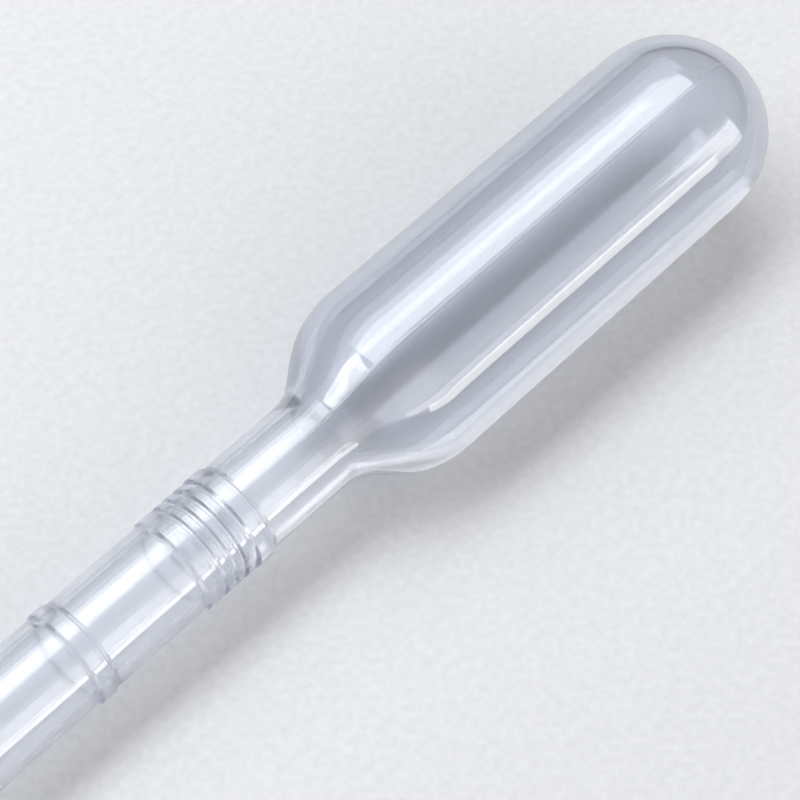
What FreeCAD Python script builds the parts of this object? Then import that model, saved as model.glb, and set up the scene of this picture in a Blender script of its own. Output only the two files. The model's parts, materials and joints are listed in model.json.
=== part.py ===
"""A one-piece blow-moulded dropper pipette, as a parametric FreeCAD document.

The pipette is drawn on its own axis, with the tip's open end at X = 0 and the bulb's crown at
X = overall_length. Its walls are revolved, its cavity is a revolved cut, and the collar, the
graduation rings and the parting line are added to that. The finished body is then laid down on its
bulb and on the low end of its stem, as it comes to rest, with the row's origin on the floor under
the middle of its box.
"""
import FreeCAD, Part
import math
import os

import Sketcher

SHEET = "Sizes"
LABEL = "pipette"

# alias, value in millimetres, degrees or a count, what it is
SIZES = (
    ("overall_length", 155.0, "open tip to crown of the bulb, along the axis"),
    ("tip_diameter", 3.0, "outside of the fine tip"),
    ("tip_bore", 2.0, "hole through the fine tip"),
    ("tip_length", 14.0, "straight fine tip"),
    ("taper_length", 14.0, "cone between the fine tip and the stem"),
    ("taper_round", 40.0, "radius that blends the cone into tip and stem"),
    ("stem_diameter", 7.8, "outside of the stem"),
    ("stem_wall", 0.85, "wall of the stem"),
    ("bulb_diameter", 15.5, "outside of the bulb"),
    ("bulb_wall", 1.5, "wall of the bulb's straight part"),
    ("bulb_length", 46.6, "neck corner to crown"),
    ("dome_wall", 1.12, "wall of the bulb's crown"),
    ("shoulder_angle", 37.5, "slope of the outer shoulder, from the axis"),
    ("neck_fillet", 4.6, "hollow radius where the stem meets the shoulder"),
    ("shoulder_round", 8.2, "full radius where the shoulder meets the bulb"),
    ("throat_offset", 0.5, "the inner neck corner, past the outer one"),
    ("throat_angle", 31.0, "slope of the inner shoulder, from the axis"),
    ("throat_round", 9.0, "radius where the inner shoulder meets the cavity"),
    ("collar_gap", 9.1, "plain stem between the collar and the neck corner"),
    ("collar_length", 6.5, "ribbed collar"),
    ("collar_height", 0.16, "collar above the stem"),
    ("collar_bevel", 0.24, "sloped ends of the collar"),
    ("groove_count", 4.0, "grooves that part the collar's ribs"),
    ("groove_first", 1.75, "collar's bulb end to the middle of the first groove"),
    ("groove_pitch", 1.05, "one groove to the next"),
    ("groove_width", 0.42, "groove at its mouth"),
    ("groove_floor", 0.14, "groove at its floor"),
    ("groove_depth", 0.15, "groove below the collar's ribs"),
    ("mark_pitch", 16.2, "one graduation to the next, about half a millilitre"),
    ("mark_width", 1.9, "graduation ring at its foot"),
    ("mark_crown", 1.0, "graduation ring across its top"),
    ("mark_height", 0.13, "graduation ring above the stem"),
    ("seam_radius", 0.1, "half-round bead along the parting line"),
    ("seam_turn", 13.1, "parting plane, turned from upright about the axis"),
    ("flat_depth", 0.07, "small flats where the soft wall bears on the floor"),
    ("root_depth", 0.3, "how far a raised feature is rooted in the wall"),
)

QUARTER_TURN = math.pi / 2
TOUCHING = 1e-6
NECK_SHARE = 0.35
SHOULDER_SHARE = 0.6
# the outer outline's corners that the pipette lies on
TAPER_END = 2
SHOULDER = 4


class Size:
    """A length worked out from the sheet, with the expression that gives it."""

    def __init__(self, value, text):
        self.value = float(value)
        self.text = text

    def _join(self, other, sign, value):
        """Combine with another size or a plain number under one sign."""
        text = other.text if isinstance(other, Size) else repr(other)
        return Size(value, f"({self.text} {sign} {text})")

    def __add__(self, other):
        return self._join(other, "+", self.value + float(other))

    def __sub__(self, other):
        return self._join(other, "-", self.value - float(other))

    def __mul__(self, other):
        return self._join(other, "*", self.value * float(other))

    def __truediv__(self, other):
        return self._join(other, "/", self.value / float(other))

    def __float__(self):
        return self.value

    def sine(self):
        """Sine of an angle that the sheet holds in degrees."""
        return Size(math.sin(math.radians(self.value)), f"sin({self.text} * 1 deg)")

    def tangent(self):
        """Tangent of an angle that the sheet holds in degrees."""
        return Size(math.tan(math.radians(self.value)), f"tan({self.text} * 1 deg)")

    def at_most(self, limit):
        """This size, or the limit where that is less."""
        return Size(min(self.value, limit.value), f"min({self.text}; {limit.text})")

    def whole(self):
        """The whole number at or below this size."""
        return Size(math.floor(self.value), f"floor({self.text})")


ZERO = Size(0.0, "0")


class Corner:
    """A corner of an outline: its place and, if it isn't sharp, its radius."""

    def __init__(self, x, y, radius=None):
        self.x = x
        self.y = y
        self.radius = radius

    def point(self):
        """The corner's place in the sketch."""
        return FreeCAD.Vector(self.x.value, self.y.value, 0)


def make_sheet(doc):
    """Write the driving dimensions to a spreadsheet and give them back as sizes."""
    sheet = doc.addObject("Spreadsheet::Sheet", SHEET)
    sizes = {}
    for row, (alias, value, note) in enumerate(SIZES, start=1):
        sheet.set(f"A{row}", note)
        sheet.set(f"B{row}", str(value))
        sheet.setAlias(f"B{row}", alias)
        sizes[alias] = Size(value, f"{SHEET}.{alias}")
    doc.recompute()
    return sizes


def origin_plane(body, role):
    """Find one of the body's own origin planes by its role."""
    return next(item for item in body.Origin.OriginFeatures if item.Role == role)


def new_sketch(body, name, role="XZ_Plane"):
    """Add a sketch on one of the body's own origin planes."""
    sketch = body.newObject("Sketcher::SketchObject", name)
    sketch.AttachmentSupport = [(origin_plane(body, role), "")]
    sketch.MapMode = "FlatFace"
    return sketch


def bind(sketch, kind, *places):
    """Add a dimension whose last argument is a size, and bind it to that size's expression."""
    *where, size = places
    index = sketch.addConstraint(Sketcher.Constraint(kind, *where, size.value))
    sketch.setExpression(f"Constraints[{index}]", size.text)


def place_point(sketch, geometry, end, corner):
    """Fix one point of the sketch at a corner, on the axes where the corner is on them."""
    for size, axis, kind in ((corner.x, -2, "DistanceX"), (corner.y, -1, "DistanceY")):
        if size is ZERO:
            sketch.addConstraint(Sketcher.Constraint("PointOnObject", geometry, end, axis))
        else:
            bind(sketch, kind, -1, 1, geometry, end, size)


def tangent_points(before, corner, after):
    """Where a rounded corner's arc leaves one run, passes half way and meets the next."""
    here = corner.point()
    back = (before.point() - here).normalize()
    ahead = (after.point() - here).normalize()
    half = back.getAngle(ahead) / 2
    radius = corner.radius.value
    run = radius / math.tan(half)
    middle = (back + ahead).normalize()
    centre = here + middle * (radius / math.sin(half))
    return here + back * run, centre - middle * radius, here + ahead * run


def draw_outline(sketch, corners, construction=False):
    """Draw straight runs through the corners, rounding those that have a radius.

    Gives the index of the last run, and of each arc by the number of its corner. The runs' two free
    ends and all the corners are bound to the sheet, and each arc is tangent to the runs on both
    sides of it.
    """
    arcs, drawn = {}, {}
    starts = [corner.point() for corner in corners]
    ends = [corner.point() for corner in corners]
    for number in range(1, len(corners) - 1):
        if corners[number].radius is not None:
            first, middle, last = tangent_points(*corners[number - 1:number + 2])
            ends[number], starts[number] = first, last
            turn = (corners[number].point() - first).cross(last - first).z
            arcs[number] = Part.Arc(first, middle, last) if turn > 0 else Part.Arc(last, middle, first)

    runs = []
    for number in range(len(corners) - 1):
        segment = Part.LineSegment(starts[number], ends[number + 1])
        runs.append(sketch.addGeometry(segment, construction))

    place_point(sketch, runs[0], 1, corners[0])
    place_point(sketch, runs[-1], 2, corners[-1])
    for number in range(1, len(corners) - 1):
        before, after = runs[number - 1], runs[number]
        if number not in arcs:
            sketch.addConstraint(Sketcher.Constraint("Coincident", before, 2, after, 1))
            place_point(sketch, after, 1, corners[number])
            continue
        arc = sketch.addGeometry(arcs[number], construction)
        drawn[number] = arc
        begins = (sketch.Geometry[arc].StartPoint - ends[number]).Length < TOUCHING
        near, far = (1, 2) if begins else (2, 1)
        corner_point = sketch.addGeometry(Part.Point(corners[number].point()), True)
        place_point(sketch, corner_point, 1, corners[number])
        sketch.addConstraint(Sketcher.Constraint("PointOnObject", corner_point, 1, before))
        sketch.addConstraint(Sketcher.Constraint("PointOnObject", corner_point, 1, after))
        sketch.addConstraint(Sketcher.Constraint("Tangent", before, 2, arc, near))
        sketch.addConstraint(Sketcher.Constraint("Tangent", after, 1, arc, far))
        bind(sketch, "Radius", arc, corners[number].radius)
    return runs[-1], drawn


def close_on_axis(sketch, run, centre_x, radius, start_angle):
    """Close a half-section: a crown arc from the last run down to the axis, and back to the start.

    start_angle is where the crown's arc leaves the last run, seen from the arc's centre.
    """
    circle = Part.Circle(FreeCAD.Vector(centre_x.value, 0, 0), FreeCAD.Vector(0, 0, 1), radius.value)
    crown = sketch.addGeometry(Part.ArcOfCircle(circle, 0, start_angle), False)
    sketch.addConstraint(Sketcher.Constraint("PointOnObject", crown, 3, -1))
    sketch.addConstraint(Sketcher.Constraint("PointOnObject", crown, 1, -1))
    sketch.addConstraint(Sketcher.Constraint("Coincident", crown, 2, run, 2))
    bind(sketch, "DistanceX", -1, 1, crown, 3, centre_x)
    return crown


def close_section(sketch, crown):
    """Join the crown's low end to the open end along the axis."""
    origin = FreeCAD.Vector(0, 0, 0)
    top = FreeCAD.Vector(0, sketch.Geometry[0].StartPoint.y, 0)
    along = sketch.addGeometry(Part.LineSegment(sketch.Geometry[crown].StartPoint, origin), False)
    up = sketch.addGeometry(Part.LineSegment(origin, top), False)
    sketch.addConstraint(Sketcher.Constraint("Coincident", crown, 1, along, 1))
    sketch.addConstraint(Sketcher.Constraint("Coincident", along, 2, -1, 1))
    sketch.addConstraint(Sketcher.Constraint("Coincident", up, 1, -1, 1))
    sketch.addConstraint(Sketcher.Constraint("Coincident", up, 2, 0, 1))


def feature(body, kind, name, sketch):
    """Turn a sketch about the pipette's axis, adding or cutting."""
    made = body.newObject(f"PartDesign::{kind}", name)
    made.Profile = sketch
    made.ReferenceAxis = (sketch, ["H_Axis"])
    made.Angle = 360
    sketch.Visibility = False
    return made


def outer_corners(size):
    """The outside of the pipette, from the open tip to the foot of the dome.

    The two rounds of the shoulder are limited to their shares of its slope.
    """
    tip = size["tip_diameter"] / 2
    stem = size["stem_diameter"] / 2
    bulb = size["bulb_diameter"] / 2
    neck = size["overall_length"] - size["bulb_length"]
    slope = (bulb - stem) / size["shoulder_angle"].tangent()
    room = (bulb - stem) / size["shoulder_angle"].sine() / (size["shoulder_angle"] / 2).tangent()
    blend = size["taper_round"]
    return [
        Corner(ZERO, tip),
        Corner(size["tip_length"], tip, blend),
        Corner(size["tip_length"] + size["taper_length"], stem, blend),
        Corner(neck, stem, size["neck_fillet"].at_most(room * NECK_SHARE)),
        Corner(neck + slope, bulb, size["shoulder_round"].at_most(room * SHOULDER_SHARE)),
        Corner(size["overall_length"] - bulb, bulb),
    ]


def inner_corners(size):
    """The cavity's wall, from the open tip to the edge of the crown's inner face."""
    tip = size["tip_bore"] / 2
    stem = size["stem_diameter"] / 2 - size["stem_wall"]
    bulb = size["bulb_diameter"] / 2 - size["bulb_wall"]
    throat = size["overall_length"] - size["bulb_length"] + size["throat_offset"]
    slope = (bulb - stem) / size["throat_angle"].tangent()
    crown = crown_radius(size)
    reach = math.sqrt(crown.value ** 2 - bulb.value ** 2)
    centre = size["overall_length"] - size["bulb_diameter"] / 2
    edge = Size(centre.value + reach,
                f"({centre.text} + sqrt({crown.text} ^ 2 - {bulb.text} ^ 2))")
    blend = size["taper_round"]
    return [
        Corner(ZERO, tip),
        Corner(size["tip_length"], tip, blend),
        Corner(size["tip_length"] + size["taper_length"], stem, blend),
        Corner(throat, stem),
        Corner(throat + slope, bulb, size["throat_round"]),
        Corner(edge, bulb),
    ]


def crown_radius(size):
    """Radius of the inner face of the bulb's crown."""
    return size["bulb_diameter"] / 2 - size["dome_wall"]


def add_wall(body, size):
    """The solid outside of the pipette."""
    sketch = new_sketch(body, "outside_section")
    corners = outer_corners(size)
    run, _ = draw_outline(sketch, corners)
    centre = size["overall_length"] - size["bulb_diameter"] / 2
    crown = close_on_axis(sketch, run, centre, size["bulb_diameter"] / 2, QUARTER_TURN)
    close_section(sketch, crown)
    return feature(body, "Revolution", "outside", sketch)


def add_cavity(body, size):
    """The bore of tip and stem and the inside of the bulb, as one revolved cut."""
    sketch = new_sketch(body, "cavity_section")
    corners = inner_corners(size)
    run, _ = draw_outline(sketch, corners)
    centre = size["overall_length"] - size["bulb_diameter"] / 2
    rise = math.atan2(corners[-1].y.value, corners[-1].x.value - centre.value)
    crown = close_on_axis(sketch, run, centre, crown_radius(size), rise)
    close_section(sketch, crown)
    return feature(body, "Groove", "cavity", sketch)


def ring_section(sketch, middle, outer_half, inner_half, foot, top):
    """A four-sided ring section about one station of the axis, bound on all its corners."""
    corners = [
        Corner(middle - outer_half, foot),
        Corner(middle - inner_half, top),
        Corner(middle + inner_half, top),
        Corner(middle + outer_half, foot),
    ]
    last, _ = draw_outline(sketch, corners)
    points = (corners[-1].point(), corners[0].point())
    floor = sketch.addGeometry(Part.LineSegment(*points), False)
    sketch.addConstraint(Sketcher.Constraint("Coincident", last, 2, floor, 1))
    sketch.addConstraint(Sketcher.Constraint("Coincident", floor, 2, 0, 1))


def repeat(body, name, original, sketch, pitch, count):
    """Repeat a ring along the axis, towards the tip."""
    pattern = body.newObject("PartDesign::LinearPattern", name)
    pattern.Originals = [original]
    pattern.Direction = (sketch, ["H_Axis"])
    pattern.Reversed = True
    pattern.setExpression("Length", f"{pitch.text} * ({count.text} - 1)")
    pattern.setExpression("Occurrences", count.text)
    body.Tip = pattern
    return pattern


def collar_end(size):
    """The collar's end next to the bulb."""
    return size["overall_length"] - size["bulb_length"] - size["collar_gap"]


def add_collar(body, size):
    """The low raised collar under the neck."""
    sketch = new_sketch(body, "collar_section")
    stem = size["stem_diameter"] / 2
    half = size["collar_length"] / 2
    rise = size["collar_height"]
    spread = size["collar_bevel"] / rise * size["root_depth"]
    ring_section(sketch, collar_end(size) - half, half + spread, half - size["collar_bevel"],
                 stem - size["root_depth"], stem + rise)
    return feature(body, "Revolution", "collar", sketch)


def add_grooves(body, size):
    """The grooves that leave ribs standing on the collar."""
    sketch = new_sketch(body, "groove_section")
    top = size["stem_diameter"] / 2 + size["collar_height"]
    middle = collar_end(size) - size["groove_first"]
    mouth, floor, depth = size["groove_width"], size["groove_floor"], size["groove_depth"]
    overshoot = size["root_depth"]
    lean = (mouth - floor) / depth * overshoot / 2
    ring_section(sketch, middle, floor / 2, mouth / 2 + lean, top - depth, top + overshoot)
    groove = feature(body, "Groove", "groove", sketch)
    return repeat(body, "grooves", groove, sketch, size["groove_pitch"], size["groove_count"])


def add_marks(body, size):
    """The graduation rings, from the collar's bulb end down as much of the stem as is straight."""
    sketch = new_sketch(body, "mark_section")
    stem = size["stem_diameter"] / 2
    straight = collar_end(size) - size["tip_length"] - size["taper_length"] - size["mark_width"]
    count = (straight / size["mark_pitch"]).whole()
    middle = collar_end(size) - size["mark_pitch"]
    crown, rise = size["mark_crown"], size["mark_height"]
    lean = (size["mark_width"] - crown) / 2 / rise * size["root_depth"]
    ring_section(sketch, middle, size["mark_width"] / 2 + lean, crown / 2,
                 stem - size["root_depth"], stem + rise)
    mark = feature(body, "Revolution", "mark", sketch)
    return repeat(body, "marks", mark, sketch, size["mark_pitch"], count)


def add_seam(body, size):
    """The parting line's bead, up one side of the pipette, over the crown and down the other."""
    path = new_sketch(body, "seam_path")
    run, _ = draw_outline(path, outer_corners(size))
    centre = size["overall_length"] - size["bulb_diameter"] / 2
    close_on_axis(path, run, centre, size["bulb_diameter"] / 2, QUARTER_TURN)
    section = new_sketch(body, "seam_section", "YZ_Plane")
    height = size["tip_diameter"] / 2
    centre_point = FreeCAD.Vector(0, height.value, 0)
    circle = Part.Circle(centre_point, FreeCAD.Vector(0, 0, 1), size["seam_radius"].value)
    bead = section.addGeometry(circle, False)
    place_point(section, bead, 3, Corner(ZERO, height))
    bind(section, "Radius", bead, size["seam_radius"])
    body.Document.recompute()

    pipe = body.newObject("PartDesign::AdditivePipe", "seam")
    pipe.Profile = section
    pipe.Spine = (path, [f"Edge{number + 1}" for number in range(len(path.Shape.Edges))])
    path.Visibility = False
    section.Visibility = False
    mirrored = body.newObject("PartDesign::Mirrored", "seams")
    mirrored.Originals = [pipe]
    mirrored.MirrorPlane = (origin_plane(body, "XY_Plane"), [""])
    body.Tip = mirrored
    return mirrored


def arc_centre(corners, number):
    """Centre of a rounded corner's arc."""
    first, middle, _ = tangent_points(*corners[number - 1:number + 2])
    here = corners[number].point()
    inward = (middle - here).normalize()
    return middle + inward * corners[number].radius.value


def bearing(size):
    """The floor as a line beside the outline: its slope to the axis, and its distance at X = 0.

    The line touches the round above the taper and the round of the shoulder from outside, and then
    lies nearer to the axis by the depth of the flats.
    """
    corners = outer_corners(size)
    taper, shoulder = arc_centre(corners, TAPER_END), arc_centre(corners, SHOULDER)
    taper_radius, shoulder_radius = corners[TAPER_END].radius.value, corners[SHOULDER].radius.value
    between = shoulder - taper
    tilt = math.atan2(between.y, between.x)
    tilt += math.asin((shoulder_radius - taper_radius) / between.Length)
    reach = taper_radius - size["flat_depth"].value
    return tilt, taper.y - taper.x * math.tan(tilt) + reach / math.cos(tilt)


def add_flats(body, size):
    """The small flats that the soft wall has where it bears on the floor."""
    sketch = new_sketch(body, "floor_section")
    sketch.AttachmentOffset = FreeCAD.Placement(
        FreeCAD.Vector(0, 0, 0), FreeCAD.Rotation(FreeCAD.Vector(1, 0, 0), 180 - size["seam_turn"].value))
    sketch.setExpression("AttachmentOffset.Rotation.Angle", f"(180 - {SHEET}.seam_turn) * 1 deg")
    corners = outer_corners(size)
    _, arcs = draw_outline(sketch, corners, construction=True)
    tilt, start = bearing(size)
    length, far = size["overall_length"], size["bulb_diameter"]
    places = [
        FreeCAD.Vector(0, start, 0),
        FreeCAD.Vector(length.value, start + length.value * math.tan(tilt), 0),
        FreeCAD.Vector(length.value, far.value, 0),
        FreeCAD.Vector(0, far.value, 0),
    ]
    sides = []
    for number, place in enumerate(places):
        segment = Part.LineSegment(place, places[(number + 1) % len(places)])
        sides.append(sketch.addGeometry(segment, False))
    for number, side in enumerate(sides):
        after = sides[(number + 1) % len(sides)]
        sketch.addConstraint(Sketcher.Constraint("Coincident", side, 2, after, 1))
    place_point(sketch, sides[3], 1, Corner(ZERO, far))
    place_point(sketch, sides[1], 2, Corner(length, far))
    sketch.addConstraint(Sketcher.Constraint("PointOnObject", sides[0], 1, -2))
    sketch.addConstraint(Sketcher.Constraint("Vertical", sides[1]))
    for number in (TAPER_END, SHOULDER):
        centre, radius = arc_centre(corners, number), corners[number].radius - size["flat_depth"]
        circle = Part.Circle(centre, FreeCAD.Vector(0, 0, 1), radius.value)
        inner = sketch.addGeometry(circle, True)
        sketch.addConstraint(Sketcher.Constraint("Coincident", inner, 3, arcs[number], 3))
        bind(sketch, "Radius", inner, radius)
        sketch.addConstraint(Sketcher.Constraint("Tangent", sides[0], inner))
    pocket = body.newObject("PartDesign::Pocket", "flats")
    pocket.Profile = sketch
    pocket.Midplane = True
    pocket.setExpression("Length", size["bulb_diameter"].text)
    sketch.Visibility = False
    return pocket


def lie_down(size):
    """The placement that lays the pipette on its flats, with the row's origin under its middle."""
    tilt, start = bearing(size)
    turn = FreeCAD.Rotation(FreeCAD.Vector(1, 0, 0), size["seam_turn"].value)
    lean = FreeCAD.Rotation(FreeCAD.Vector(0, 1, 0), -math.degrees(tilt))
    front = -size["tip_diameter"].value / 2 * math.sin(tilt)
    bulb = size["bulb_diameter"].value / 2
    crown = bulb + size["seam_radius"].value
    back = (size["overall_length"].value - bulb) * math.cos(tilt) + crown
    place = FreeCAD.Vector(-(front + back) / 2, 0, start * math.cos(tilt))
    return FreeCAD.Placement(place, lean * turn), math.degrees(tilt)


def check(doc, bodies):
    """Stop if any object failed to build or any body's shape isn't one valid solid."""
    for item in doc.Objects:
        if "Invalid" in item.State or "Error" in item.State:
            raise RuntimeError(f"{item.Label} did not build: {item.State}")
    for body in bodies:
        if body.Shape.isNull() or not body.Shape.isValid() or len(body.Shape.Solids) != 1:
            raise RuntimeError(f"{body.Label} is not one valid solid")


def make_pipette(doc, size):
    """Build the pipette's one body, checking that each cut cuts and each addition adds."""
    body = doc.addObject("PartDesign::Body", LABEL)
    body.Label = LABEL
    volume = 0.0
    steps = ((add_wall, 1), (add_cavity, -1), (add_collar, 1), (add_grooves, -1), (add_marks, 1),
             (add_seam, 1), (add_flats, -1))
    for step, sign in steps:
        made = step(body, size)
        doc.recompute()
        check(doc, [])
        change = made.Shape.Volume - volume
        if change * sign <= 0:
            raise RuntimeError(f"{made.Name} changed the volume by {change:.3f} mm3")
        print(f"{made.Name:10s} {change:+10.2f} mm3")
        volume = made.Shape.Volume
    body.Placement, tilt = lie_down(size)
    doc.recompute()
    print(f"axis tilt {tilt:.3f} deg")
    return body


def main():
    """Build the document and write the body's STEP file."""
    doc = FreeCAD.newDocument("pipette_document")
    size = make_sheet(doc)
    body = make_pipette(doc, size)
    check(doc, [body])
    os.makedirs("parts", exist_ok=True)
    body.Shape.exportStep(f"parts/{body.Label}.step")
    box = body.Shape.BoundBox
    print(f"{body.Label}: {body.Shape.Volume:.1f} mm3, box {box}")


main()
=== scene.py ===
"""A dropper pipette blown in one piece from soft, slightly milky polyethylene.

The pipette is modelled along its own axis, tip at the origin and bulb towards +X, then laid
down on the floor in the frame's own place.  Lengths are millimetres until MM turns them into
Blender's metres.
"""

import json
import logging
import math
from collections.abc import Callable
from dataclasses import dataclass, field
from enum import Enum

import bpy
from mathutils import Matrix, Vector


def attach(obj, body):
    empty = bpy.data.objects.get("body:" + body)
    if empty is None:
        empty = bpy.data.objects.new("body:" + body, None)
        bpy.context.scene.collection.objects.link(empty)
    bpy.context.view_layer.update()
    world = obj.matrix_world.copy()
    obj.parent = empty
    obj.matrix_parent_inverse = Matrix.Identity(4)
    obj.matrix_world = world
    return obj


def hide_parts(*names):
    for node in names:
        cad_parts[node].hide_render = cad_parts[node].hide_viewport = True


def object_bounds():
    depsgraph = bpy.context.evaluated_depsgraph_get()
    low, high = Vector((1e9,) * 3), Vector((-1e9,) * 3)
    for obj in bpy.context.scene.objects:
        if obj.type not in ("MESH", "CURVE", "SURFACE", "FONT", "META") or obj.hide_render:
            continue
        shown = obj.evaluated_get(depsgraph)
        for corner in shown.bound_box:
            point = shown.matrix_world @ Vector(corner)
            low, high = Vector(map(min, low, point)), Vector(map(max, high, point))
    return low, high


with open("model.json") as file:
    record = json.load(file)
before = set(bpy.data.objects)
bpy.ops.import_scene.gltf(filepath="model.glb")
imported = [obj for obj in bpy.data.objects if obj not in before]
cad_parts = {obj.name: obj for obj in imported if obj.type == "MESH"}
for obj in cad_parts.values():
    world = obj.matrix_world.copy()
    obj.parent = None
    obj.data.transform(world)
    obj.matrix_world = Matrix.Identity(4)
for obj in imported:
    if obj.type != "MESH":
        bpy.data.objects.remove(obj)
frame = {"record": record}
CAD_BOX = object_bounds()

MM = 0.001
NODE = "pipette"
SLOT = "clear_polyethylene"
BODY = "root"
MOUTH = "tip_bore"
BORE = "bore"
STEM = "stem"

log = logging.getLogger("pipette")

Triple = tuple[float, float, float]
Colour = Triple


class Side(Enum):
    """The two mould halves, by the side of the parting plane that they lie on."""

    LEFT = 1
    RIGHT = -1


# ---------------------------------------------------------------- outlines


@dataclass(frozen=True)
class Corner:
    """One corner of a wall's outline: its station along the axis, its radius and its round."""

    along: float
    radius: float
    round: float = 0.0

    def point(self) -> Vector:
        """The corner in the plane in which outlines are drawn."""
        return Vector((self.along, 0.0, self.radius))


@dataclass(frozen=True)
class Mesher:
    """How finely outlines and turned walls are divided."""

    run: float = 2.5
    arc_step: float = math.radians(5)
    small_round: float = 0.3
    small_arc_step: float = math.radians(15)
    merge: float = 0.002

    def arc_steps(self, turn: float, radius: float) -> int:
        """How many chords a round takes, fewer where it is small.

        Args:
            turn: Angle that the round goes through.
            radius: Radius of the round, in millimetres.

        Returns:
            The number of chords.
        """
        step = self.small_arc_step if radius < self.small_round else self.arc_step
        return max(2, math.ceil(abs(turn) / step))


class Outline:
    """Draws one wall's outline as a chain of points, by extruding and spinning its last point."""

    def __init__(self, name: str, corners: list[Corner], mesher: Mesher) -> None:
        """Draw the whole outline as a new object.

        Args:
            name: Name of the new object.
            corners: The outline's corners, in order.
            mesher: How finely runs and rounds are divided.
        """
        self.mesher = mesher
        self.place = corners[0].point()
        self.piece = self._first_point(name)
        for before, corner, after in zip(corners, corners[1:], corners[2:]):
            self._turn(before.point(), corner, after.point())
        self._run_to(corners[-1].point())
        bpy.ops.object.mode_set(mode="OBJECT")

    def _first_point(self, name: str) -> bpy.types.Object:
        """Add a plane at the first corner and merge it to one point.

        Args:
            name: Name of the new object.

        Returns:
            The new object, in edit mode with its one point selected.
        """
        bpy.ops.object.select_all(action="DESELECT")
        bpy.ops.mesh.primitive_plane_add(size=MM, location=self.place * MM)
        piece = bpy.context.object
        piece.name = name
        bpy.ops.object.mode_set(mode="EDIT")
        bpy.ops.mesh.select_all(action="SELECT")
        bpy.ops.mesh.merge(type="CENTER")
        return piece

    def _run_to(self, target: Vector) -> None:
        """Extrude the last point straight to a target, in even steps.

        Args:
            target: Where the run ends.
        """
        way = target - self.place
        steps = max(1, math.ceil(way.length / self.mesher.run))
        for _ in range(steps):
            bpy.ops.mesh.extrude_vertices_move(TRANSFORM_OT_translate={"value": way * MM / steps})
        self.place = target

    def _turn(self, before: Vector, corner: Corner, after: Vector) -> None:
        """Run to a corner and go round it, on an arc where the corner has a round.

        Args:
            before: The corner before.
            corner: The corner to pass.
            after: The corner after.
        """
        point = corner.point()
        inward = (point - before).normalized()
        outward = (after - point).normalized()
        turn = math.atan2(inward.cross(outward).y, inward.dot(outward))
        if not corner.round:
            self._run_to(point)
            return
        reach = corner.round * math.tan(abs(turn) / 2)
        self._run_to(point - inward * reach)
        side = Vector((0, math.copysign(1, turn), 0)).cross(inward)
        centre = self.place + side * corner.round
        steps = self.mesher.arc_steps(turn, corner.round)
        # the spin operator turns against the right-hand rule
        bpy.ops.mesh.spin(steps=steps, angle=-turn, center=centre * MM, axis=(0, 1, 0))
        self.place = point + outward * reach


# ---------------------------------------------------------------- the pipette


@dataclass(frozen=True)
class Tip:
    """The fine tip and the cone that widens it to the stem."""

    diameter: float = 3.0
    bore: float = 2.0
    length: float = 14.0
    cone: float = 14.0
    blend: float = 40.0
    rim_round: float = 0.22

    def cone_end(self) -> float:
        """Station where the cone meets the stem."""
        return self.length + self.cone


@dataclass(frozen=True)
class Collar:
    """The ribbed collar below the bulb; grooves are measured from its bulb end."""

    gap: float = 9.1
    length: float = 6.5
    height: float = 0.18
    first_rib_height: float = 0.23
    bevel: float = 0.12
    edge_round: float = 0.05
    grooves: tuple[float, ...] = (1.66, 2.80, 3.82, 4.80)
    groove_widths: tuple[float, ...] = (0.56, 0.48, 0.48, 0.46)
    groove_depth: float = 0.28
    groove_floor_part: int = 5
    foot_width: float = 0.36
    foot_depth: float = 0.15
    foot_part: int = 3

    def corners(self, stem: float, neck: float) -> list[Corner]:
        """The collar's outline, from its tip end to its bulb end.

        Args:
            stem: Radius of the stem.
            neck: Station of the neck.

        Returns:
            The corners, all with small rounds.
        """
        end = neck - self.gap
        rib = stem + self.height
        last_rib = stem + self.first_rib_height
        start, foot = end - self.length, stem - self.foot_depth
        foot_floor = self.foot_width / self.foot_part
        run = [(start - self.foot_width, stem), (start - foot_floor, foot)]
        run.append((start + self.bevel, rib))
        for from_end, width in zip(self.grooves[::-1], self.groove_widths[::-1]):
            middle = end - from_end
            beyond = last_rib if from_end == self.grooves[0] else rib
            floor, bottom = width / self.groove_floor_part, rib - self.groove_depth
            run += [(middle - width / 2, rib), (middle - floor, bottom)]
            run += [(middle + floor, bottom), (middle + width / 2, beyond)]
        run += [(end - self.bevel, last_rib), (end + foot_floor, foot)]
        run.append((end + self.foot_width, stem))
        return [Corner(along, radius, self.edge_round) for along, radius in run]


@dataclass(frozen=True)
class Graduation:
    """The raised rings that mark equal volumes on the stem."""

    pitch: float = 16.2
    count: int = 4
    foot: float = 2.1
    hollow: float = 1.68
    crown: float = 1.2
    height: float = 0.17
    hollow_depth: float = 0.2
    edge_round: float = 0.05

    def corners(self, stem: float, collar_end: float) -> list[Corner]:
        """The rings' outline, from the one nearest the tip to the one nearest the collar.

        Args:
            stem: Radius of the stem.
            collar_end: Station of the collar's bulb end.

        Returns:
            The corners, all with soft rounds.
        """
        run = []
        for number in range(self.count, 0, -1):
            middle = collar_end - number * self.pitch
            rise = [(self.foot, 0.0), (self.hollow, -self.hollow_depth), (self.crown, self.height)]
            run += [(middle - width / 2, stem + lift) for width, lift in rise]
            run += [(middle + width / 2, stem + lift) for width, lift in reversed(rise)]
        return [Corner(along, radius, self.edge_round) for along, radius in run]


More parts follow.
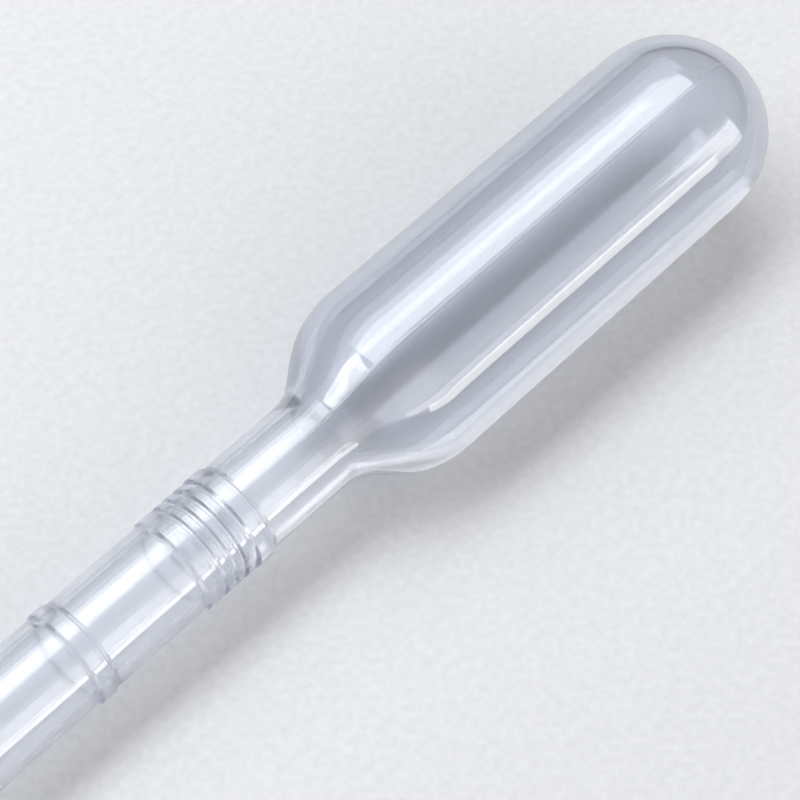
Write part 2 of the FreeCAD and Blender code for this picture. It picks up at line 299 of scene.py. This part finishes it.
@dataclass(frozen=True)
class Bulb:
    """The squeezable bulb with its outer and inner shoulders."""

    diameter: float = 15.5
    wall: float = 1.5
    dome_wall: float = 1.12
    length: float = 46.6
    shoulder_slope: float = math.radians(37.5)
    shoulder_round: float = 8.2
    neck_round: float = 4.6
    throat_past_neck: float = 0.2
    throat_slope: float = math.radians(31)
    throat_round: float = 9.0
    throat_edge: float = 2.5
    mismatch: float = 0.3
    mismatch_part: int = 3


@dataclass(frozen=True)
class Seam:
    """The fine bead along the parting line of the mould."""

    turn: float = math.radians(14.8)
    half_width: float = math.radians(0.6)
    strips: int = 4
    guard: float = math.radians(0.35)
    fixed_share: float = 0.6
    bead_shares: tuple[float, ...] = (0.75, 0.25)
    bead: float = 0.007
    stem_bead: float = 0.009


@dataclass
class Pipette:
    """The whole pipette: one blown shell, open at the tip."""

    length: float = 155.0
    stem_diameter: float = 7.8
    stem_wall: float = 0.85
    half_steps: int = 78
    worked_reach: float = 4.6
    tip: Tip = field(default_factory=Tip)
    collar: Collar = field(default_factory=Collar)
    graduation: Graduation = field(default_factory=Graduation)
    bulb: Bulb = field(default_factory=Bulb)
    seam: Seam = field(default_factory=Seam)
    mesher: Mesher = field(default_factory=Mesher)

    def neck(self) -> float:
        """Station of the outer neck corner."""
        return self.length - self.bulb.length

    @property
    def mouth(self) -> dict:
        """The frame's own record of the bore at the tip."""
        return next(mount for mount in frame["record"]["mounts"] if mount["name"] == MOUTH)

    def lean(self) -> float:
        """How far the pipette's axis is tilted off the floor, in radians."""
        return math.asin(-self.mouth["axis"][2])

    def outer_corners(self) -> list[Corner]:
        """The outside, from the middle of the rim to the crown.

        Returns:
            The corners, in order.
        """
        tip, bulb = self.tip, self.bulb
        stem, full = self.stem_diameter / 2, bulb.diameter / 2
        slope = (full - stem) / math.tan(bulb.shoulder_slope)
        collar_end = self.neck() - self.collar.gap
        return [
            Corner(0, (tip.diameter + tip.bore) / 4),
            Corner(0, tip.diameter / 2, tip.rim_round),
            Corner(tip.length, tip.diameter / 2, tip.blend),
            Corner(tip.cone_end(), stem, tip.blend),
            *self.graduation.corners(stem, collar_end),
            *self.collar.corners(stem, self.neck()),
            Corner(self.neck(), stem, bulb.neck_round),
            Corner(self.neck() + slope, full, bulb.shoulder_round),
            Corner(self.length, full, full),
            Corner(self.length, 0),
        ]

    def inner_corners(self) -> list[Corner]:
        """The bore and the inside of the bulb, from the middle of the rim to the crown.

        Returns:
            The corners, in order.
        """
        tip, bulb = self.tip, self.bulb
        bore = self.stem_diameter / 2 - self.stem_wall
        full = bulb.diameter / 2 - bulb.wall
        throat = self.neck() + bulb.throat_past_neck
        slope = (full - bore) / math.tan(bulb.throat_slope)
        crown = self.length - bulb.dome_wall
        return [
            Corner(0, (tip.diameter + tip.bore) / 4),
            Corner(0, tip.bore / 2, tip.rim_round),
            Corner(tip.length, tip.bore / 2, tip.blend),
            Corner(tip.cone_end(), bore, tip.blend),
            Corner(throat, bore, bulb.throat_edge),
            Corner(throat + slope, full, bulb.throat_round),
            Corner(crown, full, full),
            Corner(crown, 0),
        ]

    def turned_wall(self, name: str, corners: list[Corner]) -> bpy.types.Object:
        """Turn an outline about the axis, finely across the two seams.

        Args:
            name: Name of the new object.
            corners: The wall's outline.

        Returns:
            The wall, its first seam centred on +Z.
        """
        piece = Outline(name, corners, self.mesher).piece
        piece.rotation_euler.x = -self.seam.half_width
        bpy.ops.object.transform_apply(location=True, rotation=True)
        across, guard = 2 * self.seam.half_width, self.seam.guard
        plain = math.pi - across - 2 * guard
        turns = ((across, self.seam.strips), (guard, 1), (plain, self.half_steps), (guard, 1))
        bpy.ops.object.mode_set(mode="EDIT")
        bpy.ops.mesh.select_all(action="SELECT")
        for angle, steps in turns * len(Side):
            bpy.ops.mesh.spin(steps=steps, angle=-angle, center=(0, 0, 0), axis=(1, 0, 0))
        bpy.ops.mesh.select_all(action="SELECT")
        bpy.ops.mesh.remove_doubles(threshold=self.mesher.merge * MM)
        bpy.ops.object.mode_set(mode="OBJECT")
        return piece

    def shift_shoulders(self, outside: bpy.types.Object) -> None:
        """Slide the shoulder of each mould half a little along the axis, opposite ways.

        Args:
            outside: The outer wall, seams on +Z and -Z.
        """
        start = self.neck() - self.mesher.run
        stop = self.neck() + self.bulb.length / self.bulb.mismatch_part
        clear = math.sin(self.seam.half_width) * self.seam.fixed_share
        for side in Side:
            def in_half(place: Vector, way: int = side.value) -> bool:
                """Whether a point lies on this half's shoulder, clear of the seams."""
                off_seam = way * place.y > clear * math.hypot(place.y, place.z)
                return start < place.x / MM < stop and off_seam
            select_points(outside, in_half)
            slide = -side.value * self.bulb.mismatch * MM
            bpy.ops.object.mode_set(mode="EDIT")
            bpy.ops.transform.translate(value=(slide, 0, 0))
            bpy.ops.object.mode_set(mode="OBJECT")

    def raise_bead(self, outside: bpy.types.Object) -> None:
        """Lift the middle of each seam into a fine bead, step by step.

        Args:
            outside: The outer wall, seams on +Z and -Z.
        """
        def on_line(place: Vector, share: float) -> bool:
            """Whether a point lies within a share of the seam's half width of its middle."""
            angle = math.atan2(abs(place.y), abs(place.z))
            return angle < self.seam.half_width * share and place.x > 0

        shares, neck = self.seam.bead_shares, self.neck() * MM
        for share in shares:
            select_points(outside, lambda place, part=share: on_line(place, part))
            self._widen(1 + self.seam.bead / len(shares))
        select_points(outside, lambda place: on_line(place, shares[-1]) and place.x < neck)
        self._widen(1 + self.seam.stem_bead)

    def dullness(self, station: float) -> float:
        """How dull the bore is: fully so behind the raised marks and a little towards the tip.

        Args:
            station: Distance from the tip, in millimetres.

        Returns:
            From 0, glossy, to 1, dull.
        """
        end = self.neck() - self.collar.gap
        rings = [end - number * self.graduation.pitch
                 for number in range(1, self.graduation.count + 1)]
        reach = self.worked_reach
        worked = end - self.collar.length - reach < station < end + self.graduation.foot
        worked = worked or any(-reach < station - ring < self.graduation.foot for ring in rings)
        return 1.0 if worked else 0.0

    def mark_points(self, wall: bpy.types.Object, name: str,
                    value: Callable[[float], float]) -> None:
        """Store a value on each point of a wall, by its station.

        Args:
            wall: A wall along +X.
            name: Name of the stored attribute.
            value: Gives the value at a station.
        """
        points = wall.data.attributes.new(name, "FLOAT", "POINT")
        stations = [vertex.co.x / MM for vertex in wall.data.vertices]
        points.data.foreach_set("value", [value(station) for station in stations])

    def _widen(self, factor: float) -> None:
        """Scale the selected points away from the axis."""
        bpy.ops.object.mode_set(mode="EDIT")
        bpy.ops.transform.resize(value=(1, factor, factor), center_override=(0, 0, 0))
        bpy.ops.object.mode_set(mode="OBJECT")

    def build(self) -> bpy.types.Object:
        """Model the shell and lay it in the frame.

        Returns:
            The finished shell, its object at the origin.
        """
        outside = self.turned_wall("pipette_shell", self.outer_corners())
        self.shift_shoulders(outside)
        self.raise_bead(outside)
        inside = self.turned_wall("pipette_bore", self.inner_corners())
        self.mark_points(outside, BORE, lambda station: 0.0)
        self.mark_points(inside, BORE, self.dullness)
        for wall in (outside, inside):
            self.mark_points(wall, STEM, lambda station: float(station < self.neck()))
        shell = join(outside, inside)
        bpy.ops.object.mode_set(mode="EDIT")
        bpy.ops.mesh.select_all(action="SELECT")
        bpy.ops.mesh.remove_doubles(threshold=self.mesher.merge * MM)
        bpy.ops.mesh.normals_make_consistent(inside=False)
        bpy.ops.object.mode_set(mode="OBJECT")
        bpy.ops.object.shade_smooth()
        self.lay_down(shell)
        return shell

    def lay_down(self, shell: bpy.types.Object) -> None:
        """Turn the shell about its axis, tilt it on to the floor and press its two flats.

        Args:
            shell: The shell along +X.
        """
        axis = -Vector(self.mouth["axis"])
        place = Vector(self.mouth["pos_m"]) - axis * self.mouth["dims"]["length_mm"] * MM / 2
        tilt = self.lean()
        shell.rotation_euler = (self.seam.turn, -tilt, 0)
        shell.location = place
        bpy.ops.object.transform_apply(location=True, rotation=True)
        select_points(shell, lambda point: point.z < 0)
        bpy.ops.object.mode_set(mode="EDIT")
        bpy.ops.transform.resize(value=(1, 1, 0), center_override=(0, 0, 0))
        bpy.ops.object.mode_set(mode="OBJECT")


def select_points(piece: bpy.types.Object, test: Callable[[Vector], bool]) -> None:
    """Select the points of a mesh that pass a test, and nothing else.

    Args:
        piece: A mesh object in object mode.
        test: Says whether a point's place is wanted.
    """
    bpy.ops.object.select_all(action="DESELECT")
    bpy.context.view_layer.objects.active = piece
    piece.select_set(True)
    bpy.ops.object.mode_set(mode="EDIT")
    bpy.ops.mesh.select_mode(type="VERT")
    bpy.ops.mesh.select_all(action="DESELECT")
    bpy.ops.object.mode_set(mode="OBJECT")
    piece.data.vertices.foreach_set("select", [test(v.co) for v in piece.data.vertices])


def join(first: bpy.types.Object, second: bpy.types.Object) -> bpy.types.Object:
    """Join two meshes into the first.

    Args:
        first: Keeps its name.
        second: Is taken into the first.

    Returns:
        The joined object, active and selected.
    """
    bpy.ops.object.select_all(action="DESELECT")
    second.select_set(True)
    first.select_set(True)
    bpy.context.view_layer.objects.active = first
    bpy.ops.object.join()
    return first


# ---------------------------------------------------------------- finishes


class NodeBoard:
    """The nodes of a material or world, with short ways to add one and to wire two together."""

    def __init__(self, owner: bpy.types.Material | bpy.types.World) -> None:
        """Take the node tree of a new material or world.

        Args:
            owner: The material or world.
        """
        owner.use_nodes = True
        self.tree = owner.node_tree
        self.nodes = self.tree.nodes

    def add(self, kind: str, **settings: object) -> bpy.types.Node:
        """Add a node and give its sockets their plain values.

        Args:
            kind: The node's type, without its ShaderNode prefix.
            **settings: Socket values, by socket name with _ for a space.

        Returns:
            The new node.
        """
        node = self.nodes.new("ShaderNode" + kind)
        for name, value in settings.items():
            node.inputs[name.replace("_", " ")].default_value = value
        return node

    def maths(self, operation: str, first: bpy.types.NodeSocket,
              second: bpy.types.NodeSocket) -> bpy.types.NodeSocket:
        """Work out one value from two.

        Args:
            operation: The maths node's operation.
            first: The first value.
            second: The second value.

        Returns:
            The result.
        """
        node = self.add("Math")
        node.operation = operation
        self.wire(first, node.inputs[0])
        self.wire(second, node.inputs[1])
        return node.outputs["Value"]

    def ramp(self, source: bpy.types.NodeSocket, first: Colour,
             last: Colour) -> bpy.types.NodeSocket:
        """Turn 0 to 1 into a run from one colour to another.

        Args:
            source: The value.
            first: The colour at 0.
            last: The colour at 1.

        Returns:
            The colour.
        """
        run = self.add("ValToRGB")
        run.color_ramp.elements[0].color = (*first, 1)
        run.color_ramp.elements[1].color = (*last, 1)
        self.wire(source, run.inputs["Fac"])
        return run.outputs["Color"]

    def attribute(self, name: str) -> bpy.types.NodeSocket:
        """Read a value stored on the points."""
        node = self.add("Attribute")
        node.attribute_name = name
        return node.outputs["Fac"]

    def wire(self, source: bpy.types.NodeSocket, target: bpy.types.NodeSocket) -> None:
        """Link an output to an input."""
        self.tree.links.new(source, target)

    def grain(self, scale: Triple, turn: Triple, detail: float) -> bpy.types.NodeSocket:
        """Add a noise on the object's own coordinates.

        Args:
            scale: Waves per metre along each axis.
            turn: How the axes are turned first, in radians.
            detail: How many finer octaves are added.

        Returns:
            The noise, about 0.5 on average.
        """
        place = self.add("TexCoord")
        stretch = self.add("Mapping", Scale=scale)
        turned = self.add("Mapping", Rotation=turn)
        noise = self.add("TexNoise", Scale=1.0, Detail=detail)
        self.wire(place.outputs["Object"], turned.inputs["Vector"])
        self.wire(turned.outputs["Vector"], stretch.inputs["Vector"])
        self.wire(stretch.outputs["Vector"], noise.inputs["Vector"])
        return noise.outputs["Fac"]

    def span(self, source: bpy.types.NodeSocket, low: float, high: float) -> bpy.types.NodeSocket:
        """Map 0 to 1 on to a span of values.

        Args:
            source: The value to map.
            low: What 0 becomes.
            high: What 1 becomes.

        Returns:
            The mapped value.
        """
        spread = self.add("MapRange", To_Min=low, To_Max=high)
        self.wire(source, spread.inputs["Value"])
        return spread.outputs["Result"]


@dataclass(frozen=True)
class Polyethylene:
    """Soft polyethylene: clear, hazier where it is seen edge on, and duller inside than out."""

    tint: Colour = (0.965, 0.98, 1.0)
    ior: float = 1.51
    roughness: float = 0.05
    bore_roughness: float = 0.2
    stem_shadow: float = 0.67
    stem_shadow_tint: Colour = (0.95, 0.945, 0.945)
    gloss: float = 0.8
    gloss_roughness: float = 0.04
    clear_facing: float = 0.95
    clear_edge_on: float = 0.7
    glow_facing: float = 0.02
    glow_edge_on: float = 0.4
    glow_tint: Colour = (0.96, 0.97, 0.99)
    edge_bias: float = 0.3
    stem_haze: float = 0.4
    depth_tint: Colour = (0.33, 0.46, 0.73)
    depth_density: float = 110.0
    streaks: Triple = (25.0, 420.0, 420.0)
    streak_detail: float = 1.0
    streak_depth: float = 0.012
    streak_strength: float = 0.06

    def material(self, lean: float) -> bpy.types.Material:
        """Make the material.

        Args:
            lean: How far the pipette's axis is tilted, so that its drawn streaks run along it.

        Returns:
            A see-through material whose tint deepens with thickness.
        """
        material = bpy.data.materials.new(SLOT)
        board = NodeBoard(material)
        shader, output = board.nodes["Principled BSDF"], board.nodes["Material Output"]
        shader.inputs["Base Color"].default_value = (*self.tint, 1)
        shader.inputs["IOR"].default_value = self.ior
        shader.inputs["Coat Weight"].default_value = self.gloss
        shader.inputs["Coat Roughness"].default_value = self.gloss_roughness
        board.wire(board.span(board.attribute(BORE), self.roughness, self.bore_roughness),
                   shader.inputs["Roughness"])
        facing = board.add("LayerWeight", Blend=self.edge_bias).outputs["Facing"]
        haze = board.maths("MULTIPLY", facing,
                           board.span(board.attribute(STEM), 1.0, self.stem_haze))
        board.wire(board.span(haze, self.clear_facing, self.clear_edge_on),
                   shader.inputs["Transmission Weight"])
        streaks = board.grain(self.streaks, (0, lean, 0), self.streak_detail)
        relief = board.add("Bump", Strength=self.streak_strength, Distance=self.streak_depth * MM)
        board.wire(streaks, relief.inputs["Height"])
        board.wire(relief.outputs["Normal"], shader.inputs["Normal"])
        glow = board.add("BsdfTranslucent", Color=(*self.glow_tint, 1))
        mix = board.add("MixShader")
        board.wire(board.span(haze, self.glow_facing, self.glow_edge_on), mix.inputs[0])
        board.wire(shader.outputs["BSDF"], mix.inputs[1])
        board.wire(glow.outputs["BSDF"], mix.inputs[2])
        thin = board.span(board.attribute(STEM), 0.0, self.stem_shadow)
        let_through = board.maths("MULTIPLY", board.add("LightPath").outputs["Is Shadow Ray"], thin)
        opening = board.add("BsdfTransparent", Color=(*self.stem_shadow_tint, 1))
        shadow = board.add("MixShader")
        board.wire(let_through, shadow.inputs[0])
        board.wire(mix.outputs["Shader"], shadow.inputs[1])
        board.wire(opening.outputs["BSDF"], shadow.inputs[2])
        board.wire(shadow.outputs["Shader"], output.inputs["Surface"])
        depth = board.add("VolumeAbsorption", Color=(*self.depth_tint, 1),
                          Density=self.depth_density)
        board.wire(depth.outputs["Volume"], output.inputs["Volume"])
        return material


@dataclass(frozen=True)
class StudioFloor:
    """A pale, matt sheet of paper under everything."""

    light: Colour = (0.86, 0.87, 0.885)
    dark: Colour = (0.71, 0.72, 0.735)
    roughness: float = 0.9
    size: float = 4.0
    drop: float = 0.03
    fibres: float = 1400.0
    fibre_detail: float = 2.0

    def build(self) -> bpy.types.Object:
        """Lay the floor just under the object.

        Returns:
            The floor.
        """
        bpy.ops.object.select_all(action="DESELECT")
        bpy.ops.mesh.primitive_plane_add(size=self.size, location=(0, 0, -self.drop * MM))
        floor = bpy.context.object
        floor.name = "studio_floor"
        bpy.ops.object.transform_apply(location=True)
        floor.data.materials.append(self.material())
        return floor

    def material(self) -> bpy.types.Material:
        """Make the paper.

        Returns:
            A matt material with a fine tooth.
        """
        material = bpy.data.materials.new("floor_paper")
        board = NodeBoard(material)
        shader = board.nodes["Principled BSDF"]
        shader.inputs["Roughness"].default_value = self.roughness
        tooth = board.grain((self.fibres,) * 3, (0, 0, 0), self.fibre_detail)
        board.wire(board.ramp(tooth, self.dark, self.light), shader.inputs["Base Color"])
        return material


# ---------------------------------------------------------------- light and camera


class Reach(Enum):
    """What a light falls on."""

    ALL = "every surface"
    GLOSS = "reflections and clear plastic only"
    MATT = "matt surfaces only"


@dataclass(frozen=True)
class SoftBox:
    """One rectangular studio light; its place is measured from the middle of the bulb."""

    name: str
    place: Triple
    back: Triple
    length: float
    width: float
    power: float
    colour: Colour = (1.0, 1.0, 1.0)
    reach: Reach = Reach.ALL

    def build(self, bulb: Vector) -> None:
        """Hang the light with its back turned the way that `back` points.

        Args:
            bulb: The middle of the bulb.
        """
        bpy.ops.object.light_add(type="AREA", location=bulb + Vector(self.place))
        lamp = bpy.context.object
        lamp.name = self.name
        lamp.rotation_euler = Vector(self.back).to_track_quat("Z", "Y").to_euler()
        lamp.data.shape = "RECTANGLE"
        lamp.data.size = self.length
        lamp.data.size_y = self.width
        lamp.data.energy = self.power
        lamp.data.color = self.colour
        lamp.visible_camera = False
        lamp.visible_diffuse = self.reach is not Reach.GLOSS
        lamp.visible_glossy = self.reach is not Reach.MATT
        lamp.visible_transmission = self.reach is not Reach.MATT


@dataclass(frozen=True)
class Studio:
    """Room light, soft boxes and the camera."""

    overhead: Colour = (0.29, 0.275, 0.265)
    horizon: Colour = (0.12, 0.115, 0.11)
    horizon_height: float = 0.3
    front: Triple = (-0.2, -0.97, 0.14)
    front_reach: float = 0.5
    front_glow: Colour = (1.7, 1.62, 1.53)
    backdrop: Colour = (0.66, 0.67, 0.68)
    bulb_from_crown: float = 30.5
    boxes: tuple[SoftBox, ...] = (
        SoftBox("key", place=(-0.10, 0.155, 0.5), back=(0, 0, 1), length=0.98, width=0.2,
                power=2.1, colour=(0.95, 0.985, 1.03), reach=Reach.MATT),
        SoftBox("overhead_strip", place=(-0.115, 0.12, 0.5), back=(0, 0, 1), length=0.95,
                width=0.13, power=1.16, colour=(0.97, 0.99, 1.0), reach=Reach.GLOSS),
        SoftBox("bulb_strip", place=(0.02, 0.136, 0.51), back=(0, 0, 1), length=0.62,
                width=0.3, power=1.65, colour=(1.0, 0.99, 0.98), reach=Reach.GLOSS),
        SoftBox("strip_fringe", place=(0.02, 0.346, 0.51), back=(0, 0, 1), length=0.62,
                width=0.12, power=0.37, colour=(0.97, 0.99, 1.0), reach=Reach.GLOSS),
        SoftBox("shoulder_glow", place=(-0.52, 0.19, 0.54), back=(-0.67, 0.233, 0.7),
                length=0.3, width=0.26, power=1.2, reach=Reach.GLOSS),
        SoftBox("end_glow", place=(0.345, -0.459, 0.12), back=(0.61, -0.765, 0.2),
                length=0.11, width=0.25, power=0.25, colour=(1.0, 0.98, 0.95),
                reach=Reach.GLOSS),
        SoftBox("far_glow", place=(-0.075, 0.31, 0.393), back=(0, 0.62, 0.786), length=0.93,
                width=0.26, power=0.66, colour=(0.95, 0.985, 1.03)),
        SoftBox("low_strip", place=(0.033, -0.316, 0.022), back=(0.42, -0.907, 0.067),
                length=0.29, width=0.055, power=0.236, colour=(1.0, 0.96, 0.91),
                reach=Reach.GLOSS),
        SoftBox("floor_gleam", place=(0.002, -0.0083, -0.0082), back=(0, 0, -1),
                length=0.054, width=0.0075, power=0.00085, colour=(1.0, 0.98, 0.96)),
    )
    lens: float = 138.9
    sensor: float = 36.0
    azimuth: float = math.radians(46.0)
    elevation: float = math.radians(54.19)
    distance: float = 239.4
    aim_from_crown: float = 36.56
    aim_aside: float = 1.83

    def build(self) -> None:
        """Set up the world, the lights and the camera."""
        crown, _, top = CAD_BOX[1]
        bulb = Vector((crown - self.bulb_from_crown * MM, 0, top / 2))
        self._world()
        for box in self.boxes:
            box.build(bulb)
        self._camera(Vector((crown - self.aim_from_crown * MM, self.aim_aside * MM, 0)))

    def _world(self) -> None:
        """Light the room: pale above, dim at the far horizon, brightest low down in front."""
        world = bpy.data.worlds.new("studio")
        board = NodeBoard(world)
        way = board.add("TexCoord").outputs["Generated"]
        axes = board.add("SeparateXYZ")
        board.wire(way, axes.inputs["Vector"])
        rise = board.add("MapRange", From_Max=self.horizon_height)
        rise.interpolation_type = "SMOOTHSTEP"
        board.wire(axes.outputs["Z"], rise.inputs["Value"])
        room = board.ramp(rise.outputs["Result"], self.horizon, self.overhead)
        facing = board.add("VectorMath")
        facing.operation = "DOT_PRODUCT"
        facing.inputs[1].default_value = self.front
        board.wire(way, facing.inputs[0])
        near = board.add("MapRange", From_Min=self.front_reach)
        near.interpolation_type = "SMOOTHSTEP"
        board.wire(facing.outputs["Value"], near.inputs["Value"])
        glow = board.ramp(near.outputs["Result"], (0, 0, 0), self.front_glow)
        light = board.nodes["Background"]
        both = board.add("AddShader")
        board.wire(room, light.inputs["Color"])
        front = board.add("Background")
        board.wire(glow, front.inputs["Color"])
        board.wire(light.outputs["Background"], both.inputs[0])
        board.wire(front.outputs["Background"], both.inputs[1])
        seen = board.add("Background", Color=(*self.backdrop, 1))
        choice = board.add("MixShader")
        board.wire(board.add("LightPath").outputs["Is Camera Ray"], choice.inputs[0])
        board.wire(both.outputs["Shader"], choice.inputs[1])
        board.wire(seen.outputs["Background"], choice.inputs[2])
        board.wire(choice.outputs["Shader"], board.nodes["World Output"].inputs["Surface"])
        bpy.context.scene.world = world

    def _camera(self, aim: Vector) -> None:
        """Stand the camera on its line of sight.

        Args:
            aim: The point on the floor in the middle of the view.
        """
        flat = math.cos(self.elevation)
        back = Vector((-math.sin(self.azimuth) * flat, -math.cos(self.azimuth) * flat,
                       math.sin(self.elevation)))
        bpy.ops.object.camera_add(location=aim + back * self.distance * MM)
        camera = bpy.context.object
        camera.rotation_euler = (math.pi / 2 - self.elevation, 0, -self.azimuth)
        camera.data.lens = self.lens
        camera.data.sensor_width = self.sensor
        camera.data.clip_start = MM
        bpy.context.scene.camera = camera


def main() -> None:
    """Build the pipette, dress it, and set the studio round it."""
    logging.basicConfig(level=logging.INFO, format="%(name)s: %(message)s")
    bpy.context.scene.view_settings.view_transform = "Standard"
    pipette = Pipette()
    shell = pipette.build()
    shell.data.materials.clear()
    shell.data.materials.append(Polyethylene().material(pipette.lean()))
    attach(shell, BODY)
    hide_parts(NODE)
    log.info("%s: %d faces", shell.name, len(shell.data.polygons))
    floor = StudioFloor().build()
    log.info("%s laid", floor.name)
    Studio().build()


if __name__ == "__main__":
    main()
